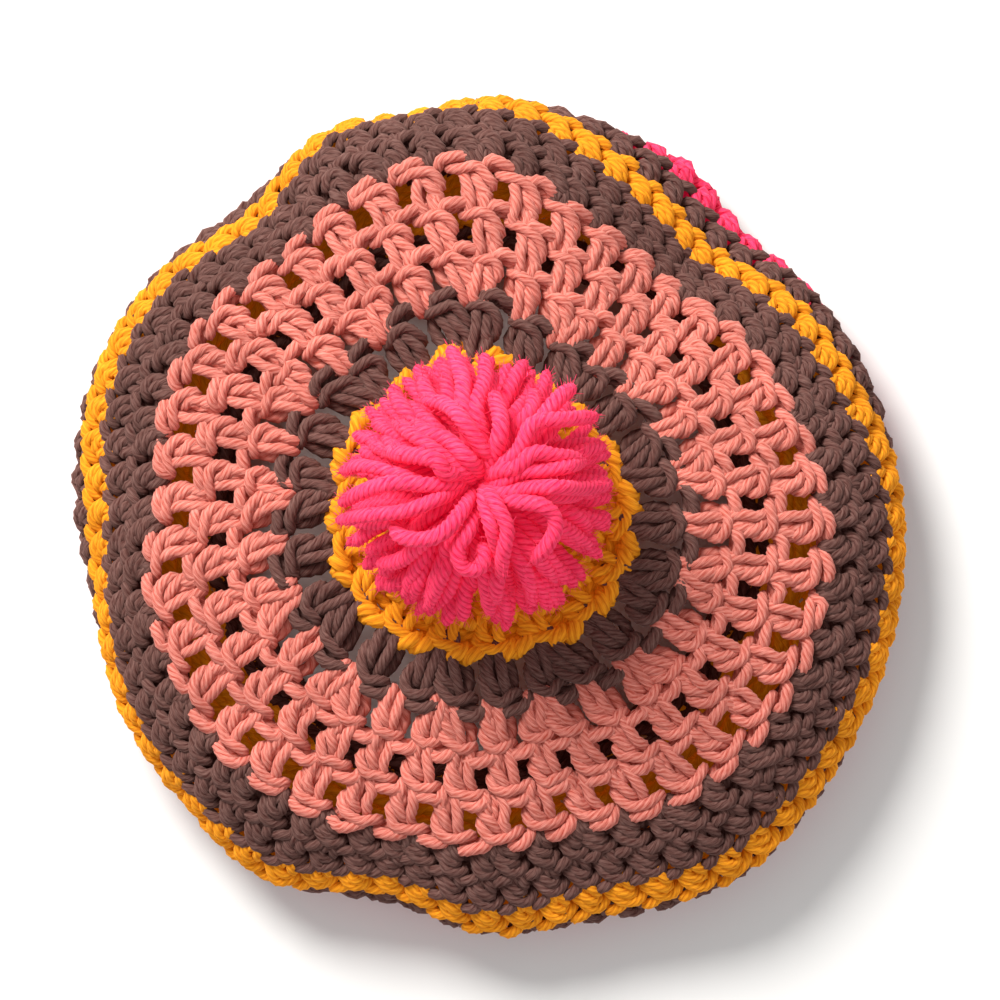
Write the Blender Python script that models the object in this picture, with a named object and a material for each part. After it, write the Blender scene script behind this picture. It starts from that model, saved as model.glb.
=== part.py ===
"""Crocheted tam o' shanter with a yarn pompom, lying crown up on its headband.

The hat is one wall of thick crochet. It is described as a curved section, from the middle of the crown
over the rim and in under it to the hem, which changes on the way round with the hat's folds. Each round
of one colour is a stretch of that wall, and the open rounds are cut through between their stitches.
"""
import math

import bmesh
import bpy
import numpy as np
from mathutils import Matrix, Vector

# Lengths in metres, measured along the crochet from the middle of the crown to the hem
RING_RADIUS = 0.005
CENTRE_RADIUS = 0.0475
INNER_ROUND_HEIGHT = 0.0173
PINK_ROUND_HEIGHT = 0.0151
OUTER_ROUND_HEIGHT = 0.0115
EDGE_ROUND_HEIGHT = 0.009
UNDER_ROUND_HEIGHT = 0.0105
GOLD_UNDER_HEIGHT = 0.019
HEADBAND_HEIGHT = 0.020

HEADBAND_RADIUS = 0.086
CROWN_HEIGHT = 0.046
WALL = 0.0045
ROUND_CLEARANCE = 0.0006

# The crown's middle lies off the middle of the rim, to the left and away from the front
CROWN_SHIFT_X = -0.0031
CROWN_SHIFT_Y = 0.0035

POMPOM_WIDTH = 0.091
POMPOM_HEIGHT = 0.066
POMPOM_CLEARANCE = 0.0003

# The pompom is sewn on a little behind the crown's middle
POMPOM_SHIFT_Y = 0.004

# The pompom's middle above its flat seat, and the ball inside its locks, as shares of its height and size
POMPOM_MIDDLE = 0.36
BALL_SHARE = 0.79

# A lock's width at its cut end, and its width at its root as a share of that
LOCK_WIDTH = 0.0165
LOCK_ROOT_WIDTH = 0.6
LOCK_SIDES = 6

# Where a lock starts on the way out from the ball's middle, how far it leans to one side as a share of the
# locks' spacing and in degrees, and how much shorter than its neighbours it may be cut
LOCK_ROOT = 0.40
LOCK_SWAY = 0.10
LOCK_SWAY_DEGREES = 4.0
LOCK_TRIM = 0.08

# Each row is a ring of locks round the pompom: how many, how steeply they rise in degrees, and how far
# the ring is turned as a share of the spacing between its locks
LOCK_ROWS = (
    # count, rise, turn
    (13, -24.0, 0.0),
    (14, 4.0, 0.5),
    (13, 31.0, 0.2),
    (9, 56.0, 0.6),
    (4, 80.0, 0.1),
)

# Open rounds: how many gaps each has on the way round
INNER_GAPS = 18
PINK_GAPS_1 = 26
PINK_GAPS_2 = 39
PINK_GAPS_3 = 42

# A gap's share of one repeat's width, and where it starts and ends in the round's height
GAP_WIDTH = 0.42
GAP_START = 0.20
GAP_END = 0.68

# The wall lies about this share of the crown's height further round the rim than a flat fold would
BEND_SHARE = 0.315

# The folds on the way round. Each row is a crest or a dip: its azimuth in degrees, how far the rim and the
# crown's edge reach there as shares of their mean radius, how far the rounds are pulled in over the crown
# as a share of an outer round's height, and how far the crown sinks as a share of its height
FOLDS = (
    # azimuth, rim, crown_edge, pull, sink
    (0.0, 0.999, 1.007, -0.05, 0.00),
    (20.0, 0.979, 0.949, 0.60, 0.06),
    (34.0, 0.955, 0.920, 0.70, 0.13),
    (50.0, 0.930, 0.868, 1.05, 0.30),
    (60.0, 0.976, 0.888, 1.05, 0.23),
    (73.0, 0.984, 0.930, 0.55, 0.08),
    (90.0, 1.005, 1.046, 0.25, -0.02),
    (101.0, 0.986, 1.055, -0.20, -0.02),
    (112.0, 1.003, 1.028, -0.20, -0.01),
    (127.0, 0.952, 0.968, 0.85, 0.06),
    (145.0, 0.992, 1.008, 0.45, 0.01),
    (165.0, 1.014, 0.996, 0.30, 0.00),
    (178.0, 0.998, 0.970, 0.55, 0.03),
    (190.0, 0.976, 1.022, 0.80, 0.02),
    (207.0, 1.002, 1.038, 0.30, -0.01),
    (225.0, 1.012, 1.050, 0.20, -0.02),
    (237.0, 1.032, 1.035, 0.15, 0.00),
    (256.0, 0.966, 0.990, 0.80, 0.05),
    (270.0, 1.014, 0.998, 0.15, 0.02),
    (284.0, 1.018, 0.970, 0.25, 0.07),
    (306.0, 1.070, 1.031, 0.20, -0.03),
    (325.0, 1.040, 1.041, 0.35, -0.02),
    (345.0, 1.017, 1.030, 0.10, 0.00),
)

# The crown's section: each row is a place on the way out, as a share of the crown edge's radius, its height
# as a share of the crown's height, and how much of the folds it takes
CROWN_SECTION = (
    # out, height, fold_share
    (0.00, 1.000, 0.00),
    (0.45, 1.000, 0.00),
    (0.59, 0.992, 0.20),
    (0.79, 0.962, 0.60),
    (1.00, 0.875, 1.00),
)

# The rim's section: each row is a share of the way out from the crown's edge to the rim
RIM_SECTION = (
    # out, height, fold_share
    (0.64, 0.730, 0.90),
    (1.00, 0.500, 0.70),
)

# The underside's section: each row is a share of the way from the headband out to the rim
UNDER_SECTION = (
    # out, height, fold_share
    (0.90, 0.285, 0.45),
    (0.57, 0.240, 0.15),
)

# The turn into the headband: each row is a share of the way from the headband out to the rim, and a share
# of the headband's height
BAND_SECTION = (
    # out, height
    (0.31, 0.76),
    (0.14, 0.93),
    (0.03, 0.86),
    (0.00, 0.58),
    (0.00, 0.25),
    (0.00, 0.00),
)
BAND_TOP_ROW = 1

SECTION_STEP_COUNT = 24
LENGTH_STEP_COUNT = 420
AZIMUTH_STEP_COUNT = 360
DENSE_COLUMN_COUNT = 60
CENTRE_COLUMN_COUNT = 36

crown_edge_radius = CENTRE_RADIUS + INNER_ROUND_HEIGHT + 3 * PINK_ROUND_HEIGHT
under_length = 2 * OUTER_ROUND_HEIGHT + EDGE_ROUND_HEIGHT + 3 * UNDER_ROUND_HEIGHT + GOLD_UNDER_HEIGHT
hem_length = crown_edge_radius + under_length + HEADBAND_HEIGHT
rim_radius = (under_length - BEND_SHARE * CROWN_HEIGHT + crown_edge_radius + HEADBAND_RADIUS) / 2


def clear_scene():
    for item in list(bpy.data.objects):
        bpy.data.objects.remove(item, do_unlink=True)


def new_collection(name):
    collection = bpy.data.collections.new(name)
    bpy.context.scene.collection.children.link(collection)
    return collection


def yarn_material(name, colour, roughness):
    """Matt wool: one colour, no metal."""
    material = bpy.data.materials.new(name)
    material.use_nodes = True
    shader = material.node_tree.nodes["Principled BSDF"]
    shader.inputs["Base Color"].default_value = (*colour, 1.0)
    shader.inputs["Roughness"].default_value = roughness
    shader.inputs["Metallic"].default_value = 0.0
    material.diffuse_color = (*colour, 1.0)
    return material


def smooth_through(places, values, at, period):
    """Read a closed, smooth curve through the given values at other places round the loop."""
    places = np.concatenate((places[-2:] - period, places, places[:2] + period))
    values = np.concatenate((values[-2:], values, values[:2]))
    slopes = np.gradient(values, places)
    step = np.clip(np.searchsorted(places, at, side="right") - 1, 0, len(places) - 2)
    width = places[step + 1] - places[step]
    share = (at - places[step]) / width
    rise = share * share * (3 - 2 * share)
    ease_out = share * (1 - share) ** 2
    ease_in = share * share * (share - 1)
    return (
        values[step] * (1 - rise)
        + values[step + 1] * rise
        + slopes[step] * width * ease_out
        + slopes[step + 1] * width * ease_in
    )


def fold_values(azimuth):
    """Rim reach, crown-edge reach, pull and sink at one azimuth."""
    table = np.array(FOLDS)
    return [
        float(smooth_through(table[:, 0], table[:, column], np.array(azimuth % 360.0), 360.0))
        for column in range(1, table.shape[1])
    ]


def smooth_line(points):
    """Rounded line through the points, with its corners eased in proportion to their spacing."""
    points = np.array(points)
    knots = np.concatenate(((0.0,), np.cumsum(np.sqrt(np.linalg.norm(np.diff(points, axis=0), axis=1)))))
    slopes = np.gradient(points, knots, axis=0)
    line = []
    for row in range(len(points) - 1):
        width = knots[row + 1] - knots[row]
        share = np.linspace(0.0, 1.0, SECTION_STEP_COUNT, endpoint=False)[:, None]
        rise = share * share * (3 - 2 * share)
        line.append(
            points[row] * (1 - rise)
            + points[row + 1] * rise
            + slopes[row] * width * share * (1 - share) ** 2
            + slopes[row + 1] * width * share * share * (share - 1)
        )
    line.append(points[-1:])
    return np.concatenate(line)


def section_at(azimuth):
    """Radius and height of the wall's middle along the crochet, from the crown's middle to the hem."""
    rim_reach, edge_reach, pull, sink = fold_values(azimuth)
    rim = rim_radius * rim_reach
    edge = crown_edge_radius * edge_reach
    points = []
    for out, height, fold_share in CROWN_SECTION:
        reach = 1 + (edge_reach - 1) * fold_share
        points.append((crown_edge_radius * out * reach, CROWN_HEIGHT * (height - sink * fold_share)))
    edge_row = len(points) - 1
    for out, height, fold_share in RIM_SECTION:
        points.append((edge + out * (rim - edge), CROWN_HEIGHT * (height - sink * fold_share)))
    for out, height, fold_share in UNDER_SECTION:
        radius = HEADBAND_RADIUS + out * (rim - HEADBAND_RADIUS)
        points.append((radius, CROWN_HEIGHT * (height - sink * fold_share)))
    band_row = len(points) + BAND_TOP_ROW
    for out, height in BAND_SECTION:
        points.append((HEADBAND_RADIUS + out * (rim - HEADBAND_RADIUS), HEADBAND_HEIGHT * height))
    line = smooth_line(points)
    run = np.concatenate(((0.0,), np.cumsum(np.linalg.norm(np.diff(line, axis=0), axis=1))))
    run_edge = run[edge_row * SECTION_STEP_COUNT]
    run_band = run[band_row * SECTION_STEP_COUNT]
    length = np.linspace(0.0, hem_length, LENGTH_STEP_COUNT)
    share = np.clip((length - crown_edge_radius) / under_length, 0.0, 1.0)
    share = share - pull * OUTER_ROUND_HEIGHT / under_length * np.sin(np.pi * share)
    over_crown = np.minimum(length / crown_edge_radius, 1.0) * run_edge
    over_rim = share * (run_band - run_edge)
    over_band = np.maximum(length - crown_edge_radius - under_length, 0.0) / HEADBAND_HEIGHT
    place = over_crown + over_rim + over_band * (run[-1] - run_band)
    return np.interp(place, run, line[:, 0]), np.interp(place, run, line[:, 1])


def build_surface():
    """The middle of the wall and its outward direction, on a close grid of azimuths and lengths."""
    points = np.zeros((AZIMUTH_STEP_COUNT + 1, LENGTH_STEP_COUNT, 3))
    for row in range(AZIMUTH_STEP_COUNT + 1):
        azimuth = 360.0 * row / AZIMUTH_STEP_COUNT
        radius, height = section_at(azimuth)
        angle = math.radians(azimuth)
        shift = np.clip(1 - radius / rim_radius, 0.0, 1.0)
        points[row, :, 0] = radius * math.cos(angle) + CROWN_SHIFT_X * shift
        points[row, :, 1] = radius * math.sin(angle) + CROWN_SHIFT_Y * shift
        points[row, :, 2] = height
    for axis in (0, 1):
        points[:, :, axis] -= (points[:, :, axis].max() + points[:, :, axis].min()) / 2
    around = np.zeros_like(points)
    around[1:-1] = points[2:] - points[:-2]
    around[0] = around[-1] = points[1] - points[-2]
    along = np.gradient(points, axis=1)
    outward = np.cross(along, around)
    outward /= np.maximum(np.linalg.norm(outward, axis=2, keepdims=True), 1e-12)
    outward[:, 0] = outward[:, 1]
    outward[:, -1, 2] = 0.0
    outward[:, -1] /= np.linalg.norm(outward[:, -1], axis=1, keepdims=True)
    return points, outward


def on_wall(azimuth, length, lift):
    """Points at the given azimuths and lengths, lifted off the middle of the wall."""
    azimuth, length = np.broadcast_arrays(np.asarray(azimuth, float) % 360.0, length)
    row = azimuth / 360.0 * AZIMUTH_STEP_COUNT
    column = np.clip(length / hem_length, 0.0, 1.0) * (LENGTH_STEP_COUNT - 1)
    row_low = np.minimum(row.astype(int), AZIMUTH_STEP_COUNT - 1)
    column_low = np.minimum(column.astype(int), LENGTH_STEP_COUNT - 2)
    row_share = (row - row_low)[..., None]
    column_share = (column - column_low)[..., None]
    result = []
    for grid in surface:
        corners = [grid[row_low + step, column_low + hop] for step in (0, 1) for hop in (0, 1)]
        near = corners[0] * (1 - column_share) + corners[1] * column_share
        far = corners[2] * (1 - column_share) + corners[3] * column_share
        result.append(near * (1 - row_share) + far * row_share)
    middle, outward = result
    outward /= np.linalg.norm(outward, axis=-1, keepdims=True)
    return middle + outward * lift


def wall_piece(name, azimuths, lengths, is_gap, material, collection):
    """A closed ring of wall between the first and last length, open where is_gap says so."""
    columns = len(azimuths)
    rows = len(lengths)
    outside = on_wall(np.array(azimuths)[:, None], np.array(lengths)[None, :], WALL / 2)
    inside = on_wall(np.array(azimuths)[:, None], np.array(lengths)[None, :], -WALL / 2)
    mesh = bpy.data.meshes.new(name)
    work = bmesh.new()
    top = [[work.verts.new(point) for point in line] for line in outside]
    bottom = [[work.verts.new(point) for point in line] for line in inside]
    face = work.faces.new

    def filled(column, row):
        return 0 <= row < rows - 1 and not is_gap(column % columns, row)

    for column in range(columns):
        after = (column + 1) % columns
        for row in range(rows - 1):
            if not filled(column, row):
                continue
            face((top[column][row], top[column][row + 1], top[after][row + 1], top[after][row]))
            face((bottom[column][row], bottom[after][row], bottom[after][row + 1], bottom[column][row + 1]))
            if not filled(column, row - 1):
                face((top[column][row], top[after][row], bottom[after][row]))
                face((top[column][row], bottom[after][row], bottom[column][row]))
            if not filled(column, row + 1):
                edge = row + 1
                face((top[after][edge], top[column][edge], bottom[after][edge]))
                face((top[column][edge], bottom[column][edge], bottom[after][edge]))
            if not filled(column - 1, row):
                face((top[column][row + 1], top[column][row], bottom[column][row], bottom[column][row + 1]))
            if not filled(column + 1, row):
                face((top[after][row], top[after][row + 1], bottom[after][row + 1], bottom[after][row]))
    loose = [vertex for vertex in work.verts if not vertex.link_faces]
    bmesh.ops.delete(work, geom=loose, context="VERTS")
    work.to_mesh(mesh)
    work.free()
    mesh.materials.append(material)
    piece = bpy.data.objects.new(name, mesh)
    collection.objects.link(piece)
    return piece


def dense_round(name, start, height, rows, material, collection, columns=DENSE_COLUMN_COUNT):
    """A round, or a few, worked without gaps."""
    azimuths = [360.0 * column / columns for column in range(columns)]
    low = start + ROUND_CLEARANCE / 2
    high = start + height - ROUND_CLEARANCE / 2
    lengths = [low + (high - low) * row / rows for row in range(rows + 1)]
    return wall_piece(name, azimuths, lengths, lambda column, row: False, material, collection)


def open_round(name, start, height, gaps, material, collection):
    """A round of tall stitches with a gap and a post in each repeat."""
    azimuths = [360.0 * (repeat + share) / gaps for repeat in range(gaps) for share in (0.0, GAP_WIDTH)]
    low = start + ROUND_CLEARANCE / 2
    high = start + height - ROUND_CLEARANCE / 2
    lengths = [low + (high - low) * share for share in (0.0, GAP_START, GAP_END, 1.0)]
    return wall_piece(
        name, azimuths, lengths, lambda column, row: row == 1 and column % 2 == 0, material, collection
    )


def pompom(material, collection, helpers):
    """A ball of yarn locks, flat where it sits on the crown."""
    seat = on_wall(0.0, 0.0, 0.0)
    seat[1] += POMPOM_SHIFT_Y
    seat[2] = surface[0][:, :, 2].max() + WALL / 2 + POMPOM_CLEARANCE
    middle = Vector(seat) + Vector((0.0, 0.0, POMPOM_HEIGHT * POMPOM_MIDDLE))
    half_width = POMPOM_WIDTH / 2
    half_height = POMPOM_HEIGHT * (1 - POMPOM_MIDDLE)
    mesh = bpy.data.meshes.new("pompom")
    work = bmesh.new()
    bmesh.ops.create_uvsphere(work, u_segments=14, v_segments=8, radius=BALL_SHARE)
    bmesh.ops.scale(work, vec=(half_width, half_width, half_height), verts=work.verts)
    bmesh.ops.translate(work, vec=middle, verts=work.verts)
    work.to_mesh(mesh)
    work.free()
    mesh.materials.append(material)
    ball = bpy.data.objects.new("pompom", mesh)
    collection.objects.link(ball)

    locks = bmesh.new()
    for count, rise, turn in LOCK_ROWS:
        for number in range(count):
            sway = math.sin(2.4 * number + rise)
            azimuth = 2 * math.pi * (number + turn + LOCK_SWAY * sway) / count
            lift = math.radians(rise + LOCK_SWAY_DEGREES * sway)
            trim = 1 - LOCK_TRIM * abs(math.sin(1.7 * number + turn))
            direction = Vector(
                (
                    math.cos(azimuth) * math.cos(lift) * half_width * trim,
                    math.sin(azimuth) * math.cos(lift) * half_width * trim,
                    math.sin(lift) * half_height * trim,
                )
            )
            aim = direction.to_track_quat("Z", "Y").to_matrix().to_4x4()
            bmesh.ops.create_cone(
                locks,
                cap_ends=True,
                segments=LOCK_SIDES,
                radius1=LOCK_WIDTH * LOCK_ROOT_WIDTH / 2,
                radius2=LOCK_WIDTH / 2,
                depth=direction.length * (1 - LOCK_ROOT),
                matrix=Matrix.Translation(middle + direction * (1 + LOCK_ROOT) / 2) @ aim,
            )
    lock_mesh = bpy.data.meshes.new("pompom_locks")
    locks.to_mesh(lock_mesh)
    locks.free()
    lock_piece = bpy.data.objects.new("pompom_locks", lock_mesh)
    helpers.objects.link(lock_piece)

    block_mesh = bpy.data.meshes.new("pompom_block")
    block = bmesh.new()
    size = POMPOM_WIDTH * 2
    bmesh.ops.create_cube(block, size=size, matrix=Matrix.Translation((seat[0], seat[1], seat[2] + size / 2)))
    block.to_mesh(block_mesh)
    block.free()
    block_piece = bpy.data.objects.new("pompom_block", block_mesh)
    helpers.objects.link(block_piece)

    for helper in (lock_piece, block_piece):
        helper.hide_render = True
        helper.display_type = "WIRE"
    union = ball.modifiers.new("fuse_locks", "BOOLEAN")
    union.operation = "UNION"
    union.object = lock_piece
    union.use_self = True
    trim = ball.modifiers.new("flat_seat", "BOOLEAN")
    trim.operation = "INTERSECT"
    trim.object = block_piece
    return ball


clear_scene()
surface = build_surface()
hat = new_collection("tam_o_shanter")
helpers = new_collection("cutters")

gold = yarn_material("gold_yarn", (0.66, 0.34, 0.03), 0.9)
brown = yarn_material("brown_yarn", (0.14, 0.085, 0.075), 0.9)
pink = yarn_material("salmon_yarn", (0.72, 0.25, 0.20), 0.9)
bright = yarn_material("bright_pink_yarn", (0.90, 0.03, 0.14), 0.85)

dense_round("crown_centre", RING_RADIUS, CENTRE_RADIUS - RING_RADIUS, 2, gold, hat, CENTRE_COLUMN_COUNT)
start = CENTRE_RADIUS
open_round("inner_brown_round", start, INNER_ROUND_HEIGHT, INNER_GAPS, brown, hat)
start += INNER_ROUND_HEIGHT
for number, gaps in enumerate((PINK_GAPS_1, PINK_GAPS_2, PINK_GAPS_3), 1):
    open_round(f"pink_round_{number}", start, PINK_ROUND_HEIGHT, gaps, pink, hat)
    start += PINK_ROUND_HEIGHT
dense_round("outer_brown_round_1", start, OUTER_ROUND_HEIGHT, 1, brown, hat)
start += OUTER_ROUND_HEIGHT
dense_round("outer_brown_round_2", start, OUTER_ROUND_HEIGHT, 2, brown, hat)
start += OUTER_ROUND_HEIGHT
dense_round("gold_edge_round", start, EDGE_ROUND_HEIGHT, 1, gold, hat)
start += EDGE_ROUND_HEIGHT
dense_round("under_brown_round", start, UNDER_ROUND_HEIGHT, 2, brown, hat)
start += UNDER_ROUND_HEIGHT
dense_round("under_bright_round", start, UNDER_ROUND_HEIGHT, 1, bright, hat)
start += UNDER_ROUND_HEIGHT
dense_round("under_dark_round", start, UNDER_ROUND_HEIGHT, 1, brown, hat)
start += UNDER_ROUND_HEIGHT
dense_round("under_gold_rounds", start, GOLD_UNDER_HEIGHT, 2, gold, hat)
start += GOLD_UNDER_HEIGHT
dense_round("headband", start, HEADBAND_HEIGHT + ROUND_CLEARANCE / 2, 2, brown, hat)
pompom(bright, hat, helpers)
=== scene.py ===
import math

import bpy
import numpy as np
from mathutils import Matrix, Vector


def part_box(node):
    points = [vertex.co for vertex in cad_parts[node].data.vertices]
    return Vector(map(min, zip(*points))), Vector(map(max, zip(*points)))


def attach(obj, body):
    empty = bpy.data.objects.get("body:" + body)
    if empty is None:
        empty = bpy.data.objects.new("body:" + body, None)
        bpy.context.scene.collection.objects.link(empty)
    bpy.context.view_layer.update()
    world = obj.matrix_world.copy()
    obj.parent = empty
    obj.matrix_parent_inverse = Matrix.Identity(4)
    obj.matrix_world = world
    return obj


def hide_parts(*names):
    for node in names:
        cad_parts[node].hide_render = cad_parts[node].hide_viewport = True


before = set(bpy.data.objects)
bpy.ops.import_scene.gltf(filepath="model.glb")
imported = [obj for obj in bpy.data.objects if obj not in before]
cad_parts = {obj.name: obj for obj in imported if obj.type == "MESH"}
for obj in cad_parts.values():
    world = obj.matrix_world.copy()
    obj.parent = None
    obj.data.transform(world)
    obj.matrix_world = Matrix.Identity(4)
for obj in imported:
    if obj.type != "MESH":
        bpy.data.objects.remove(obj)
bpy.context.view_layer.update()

# The gold centre of the crown. The hat is crocheted from here outwards, round on round, in a thick soft
# acrylic yarn of six thin plies. Every round lies on one wall, so that wall's section and folds come first,
# then the yarn itself, and then the gold stitches that the pompom sits on.
RING_RADIUS = 0.005
CENTRE_RADIUS = 0.0475
INNER_ROUND_HEIGHT = 0.0173
PINK_ROUND_HEIGHT = 0.0151
OUTER_ROUND_HEIGHT = 0.0115
EDGE_ROUND_HEIGHT = 0.009
UNDER_ROUND_HEIGHT = 0.0105
GOLD_UNDER_HEIGHT = 0.019
HEADBAND_HEIGHT = 0.020
HEADBAND_RADIUS = 0.086
CROWN_HEIGHT = 0.046

# How far the crown's middle lies off the rim's, and what the bend round the rim takes up of the wall's
# length as a share of the crown's height
CROWN_SHIFT_X = -0.0031
CROWN_SHIFT_Y = 0.0035
BEND_SHARE = 0.315

# Each row is a crest or a dip of the folds: its azimuth in degrees, how far the rim and the crown's edge
# reach there as shares of their mean radius, how far the rounds are pulled in over the crown as a share of
# an outer round's height, and how far the crown sinks as a share of its height
FOLDS = (
    # azimuth, rim, crown_edge, pull, sink
    (0.0, 0.999, 1.007, -0.05, 0.00),
    (20.0, 0.979, 0.949, 0.60, 0.06),
    (34.0, 0.955, 0.920, 0.70, 0.13),
    (50.0, 0.930, 0.868, 1.05, 0.30),
    (60.0, 0.976, 0.888, 1.05, 0.23),
    (73.0, 0.984, 0.930, 0.55, 0.08),
    (90.0, 1.005, 1.046, 0.25, -0.02),
    (101.0, 0.986, 1.055, -0.20, -0.02),
    (112.0, 1.003, 1.028, -0.20, -0.01),
    (127.0, 0.952, 0.968, 0.85, 0.06),
    (145.0, 0.992, 1.008, 0.45, 0.01),
    (165.0, 1.014, 0.996, 0.30, 0.00),
    (178.0, 0.998, 0.970, 0.55, 0.03),
    (190.0, 0.976, 1.022, 0.80, 0.02),
    (207.0, 1.002, 1.038, 0.30, -0.01),
    (225.0, 1.012, 1.050, 0.20, -0.02),
    (237.0, 1.032, 1.035, 0.15, 0.00),
    (256.0, 0.966, 0.990, 0.80, 0.05),
    (270.0, 1.014, 0.998, 0.15, 0.02),
    (284.0, 1.018, 0.970, 0.25, 0.07),
    (306.0, 1.070, 1.031, 0.20, -0.03),
    (325.0, 1.040, 1.041, 0.35, -0.02),
    (345.0, 1.017, 1.030, 0.10, 0.00),
)

# The section's places. On the crown, out is a share of the crown edge's radius; on the rim, a share of the
# way from that edge to the rim; below, a share of the way from the headband out to the rim
CROWN_SECTION = (
    # out, height, fold_share
    (0.00, 1.000, 0.00),
    (0.45, 1.000, 0.00),
    (0.59, 0.992, 0.20),
    (0.79, 0.962, 0.60),
    (1.00, 0.875, 1.00),
)
RIM_SECTION = (
    # out, height, fold_share
    (0.64, 0.730, 0.90),
    (1.00, 0.500, 0.70),
)
UNDER_SECTION = (
    # out, height, fold_share
    (0.90, 0.285, 0.45),
    (0.57, 0.240, 0.15),
)
BAND_SECTION = (
    # out, height
    (0.31, 0.76),
    (0.14, 0.93),
    (0.03, 0.86),
    (0.00, 0.58),
    (0.00, 0.25),
    (0.00, 0.00),
)
BAND_TOP_ROW = 1  # the row of the band's section at which the headband's own rounds begin

# How finely the wall is worked out: between two places of its section, along it and round it
SECTION_STEP_COUNT = 24
LENGTH_STEP_COUNT = 420
AZIMUTH_STEP_COUNT = 360
TINY = 1e-12  # the least length that a direction is divided by

crown_edge_radius = CENTRE_RADIUS + INNER_ROUND_HEIGHT + 3 * PINK_ROUND_HEIGHT
under_length = 2 * OUTER_ROUND_HEIGHT + EDGE_ROUND_HEIGHT + 3 * UNDER_ROUND_HEIGHT + GOLD_UNDER_HEIGHT
band_start = crown_edge_radius + under_length
hem_length = band_start + HEADBAND_HEIGHT
rim_radius = (under_length - BEND_SHARE * CROWN_HEIGHT + crown_edge_radius + HEADBAND_RADIUS) / 2


def curve_between(low, high, low_slope, high_slope, width, share):
    """A cubic curve from low to high with the given slopes at its ends, at a share of its width."""
    rise = share * share * (3 - 2 * share)
    return (
        low * (1 - rise)
        + high * rise
        + low_slope * width * share * (1 - share) ** 2
        + high_slope * width * share * share * (share - 1)
    )


def smooth_through(places, values, at, period):
    """Read a closed, smooth curve through the given values at other places round the loop."""
    places = np.concatenate((places[-2:] - period, places, places[:2] + period))
    values = np.concatenate((values[-2:], values, values[:2]))
    slopes = np.gradient(values, places)
    step = np.clip(np.searchsorted(places, at, side="right") - 1, 0, len(places) - 2)
    width = places[step + 1] - places[step]
    share = (at - places[step]) / width
    return curve_between(values[step], values[step + 1], slopes[step], slopes[step + 1], width, share)


def smooth_line(points):
    """A rounded line through the points, with its corners eased in proportion to their spacing."""
    points = np.array(points)
    knots = np.concatenate(((0.0,), np.cumsum(np.sqrt(np.linalg.norm(np.diff(points, axis=0), axis=1)))))
    slopes = np.gradient(points, knots, axis=0)
    share = np.linspace(0.0, 1.0, SECTION_STEP_COUNT, endpoint=False)[:, None]
    line = []
    for row in range(len(points) - 1):
        width = knots[row + 1] - knots[row]
        line.append(curve_between(points[row], points[row + 1], slopes[row], slopes[row + 1], width, share))
    line.append(points[-1:])
    return np.concatenate(line)


def section_at(azimuth):
    """Radius and height of the wall's middle along the crochet, from the crown's middle to the hem."""
    table = np.array(FOLDS)
    rim_reach, edge_reach, pull, sink = (
        float(smooth_through(table[:, 0], table[:, column], np.array(azimuth % 360.0), 360.0))
        for column in range(1, 5)
    )
    rim = rim_radius * rim_reach
    edge = crown_edge_radius * edge_reach
    points = []
    for out, height, fold_share in CROWN_SECTION:
        reach = 1 + (edge_reach - 1) * fold_share
        points.append((crown_edge_radius * out * reach, CROWN_HEIGHT * (height - sink * fold_share)))
    edge_row = len(points) - 1
    for out, height, fold_share in RIM_SECTION:
        points.append((edge + out * (rim - edge), CROWN_HEIGHT * (height - sink * fold_share)))
    for out, height, fold_share in UNDER_SECTION:
        radius = HEADBAND_RADIUS + out * (rim - HEADBAND_RADIUS)
        points.append((radius, CROWN_HEIGHT * (height - sink * fold_share)))
    band_row = len(points) + BAND_TOP_ROW
    for out, height in BAND_SECTION:
        points.append((HEADBAND_RADIUS + out * (rim - HEADBAND_RADIUS), HEADBAND_HEIGHT * height))
    line = smooth_line(points)
    run = np.concatenate(((0.0,), np.cumsum(np.linalg.norm(np.diff(line, axis=0), axis=1))))
    run_edge = run[edge_row * SECTION_STEP_COUNT]
    run_band = run[band_row * SECTION_STEP_COUNT]
    length = np.linspace(0.0, hem_length, LENGTH_STEP_COUNT)
    share = np.clip((length - crown_edge_radius) / under_length, 0.0, 1.0)
    share = share - pull * OUTER_ROUND_HEIGHT / under_length * np.sin(np.pi * share)
    over_crown = np.minimum(length / crown_edge_radius, 1.0) * run_edge
    over_rim = share * (run_band - run_edge)
    over_band = np.maximum(length - crown_edge_radius - under_length, 0.0) / HEADBAND_HEIGHT
    place = over_crown + over_rim + over_band * (run[-1] - run_band)
    return np.interp(place, run, line[:, 0]), np.interp(place, run, line[:, 1])


def build_surface():
    """The middle of the wall and its outward direction, on a close grid of azimuths and lengths."""
    points = np.zeros((AZIMUTH_STEP_COUNT + 1, LENGTH_STEP_COUNT, 3))
    for row in range(AZIMUTH_STEP_COUNT + 1):
        azimuth = 360.0 * row / AZIMUTH_STEP_COUNT
        radius, height = section_at(azimuth)
        angle = math.radians(azimuth)
        shift = np.clip(1 - radius / rim_radius, 0.0, 1.0)
        points[row, :, 0] = radius * math.cos(angle) + CROWN_SHIFT_X * shift
        points[row, :, 1] = radius * math.sin(angle) + CROWN_SHIFT_Y * shift
        points[row, :, 2] = height
    for axis in (0, 1):
        points[:, :, axis] -= (points[:, :, axis].max() + points[:, :, axis].min()) / 2
    around = np.zeros_like(points)
    around[1:-1] = points[2:] - points[:-2]
    around[0] = around[-1] = points[1] - points[-2]
    outward = np.cross(np.gradient(points, axis=1), around)
    outward /= np.maximum(np.linalg.norm(outward, axis=2, keepdims=True), TINY)
    outward[:, 0] = outward[:, 1]
    return points, outward


surface = build_surface()


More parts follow.
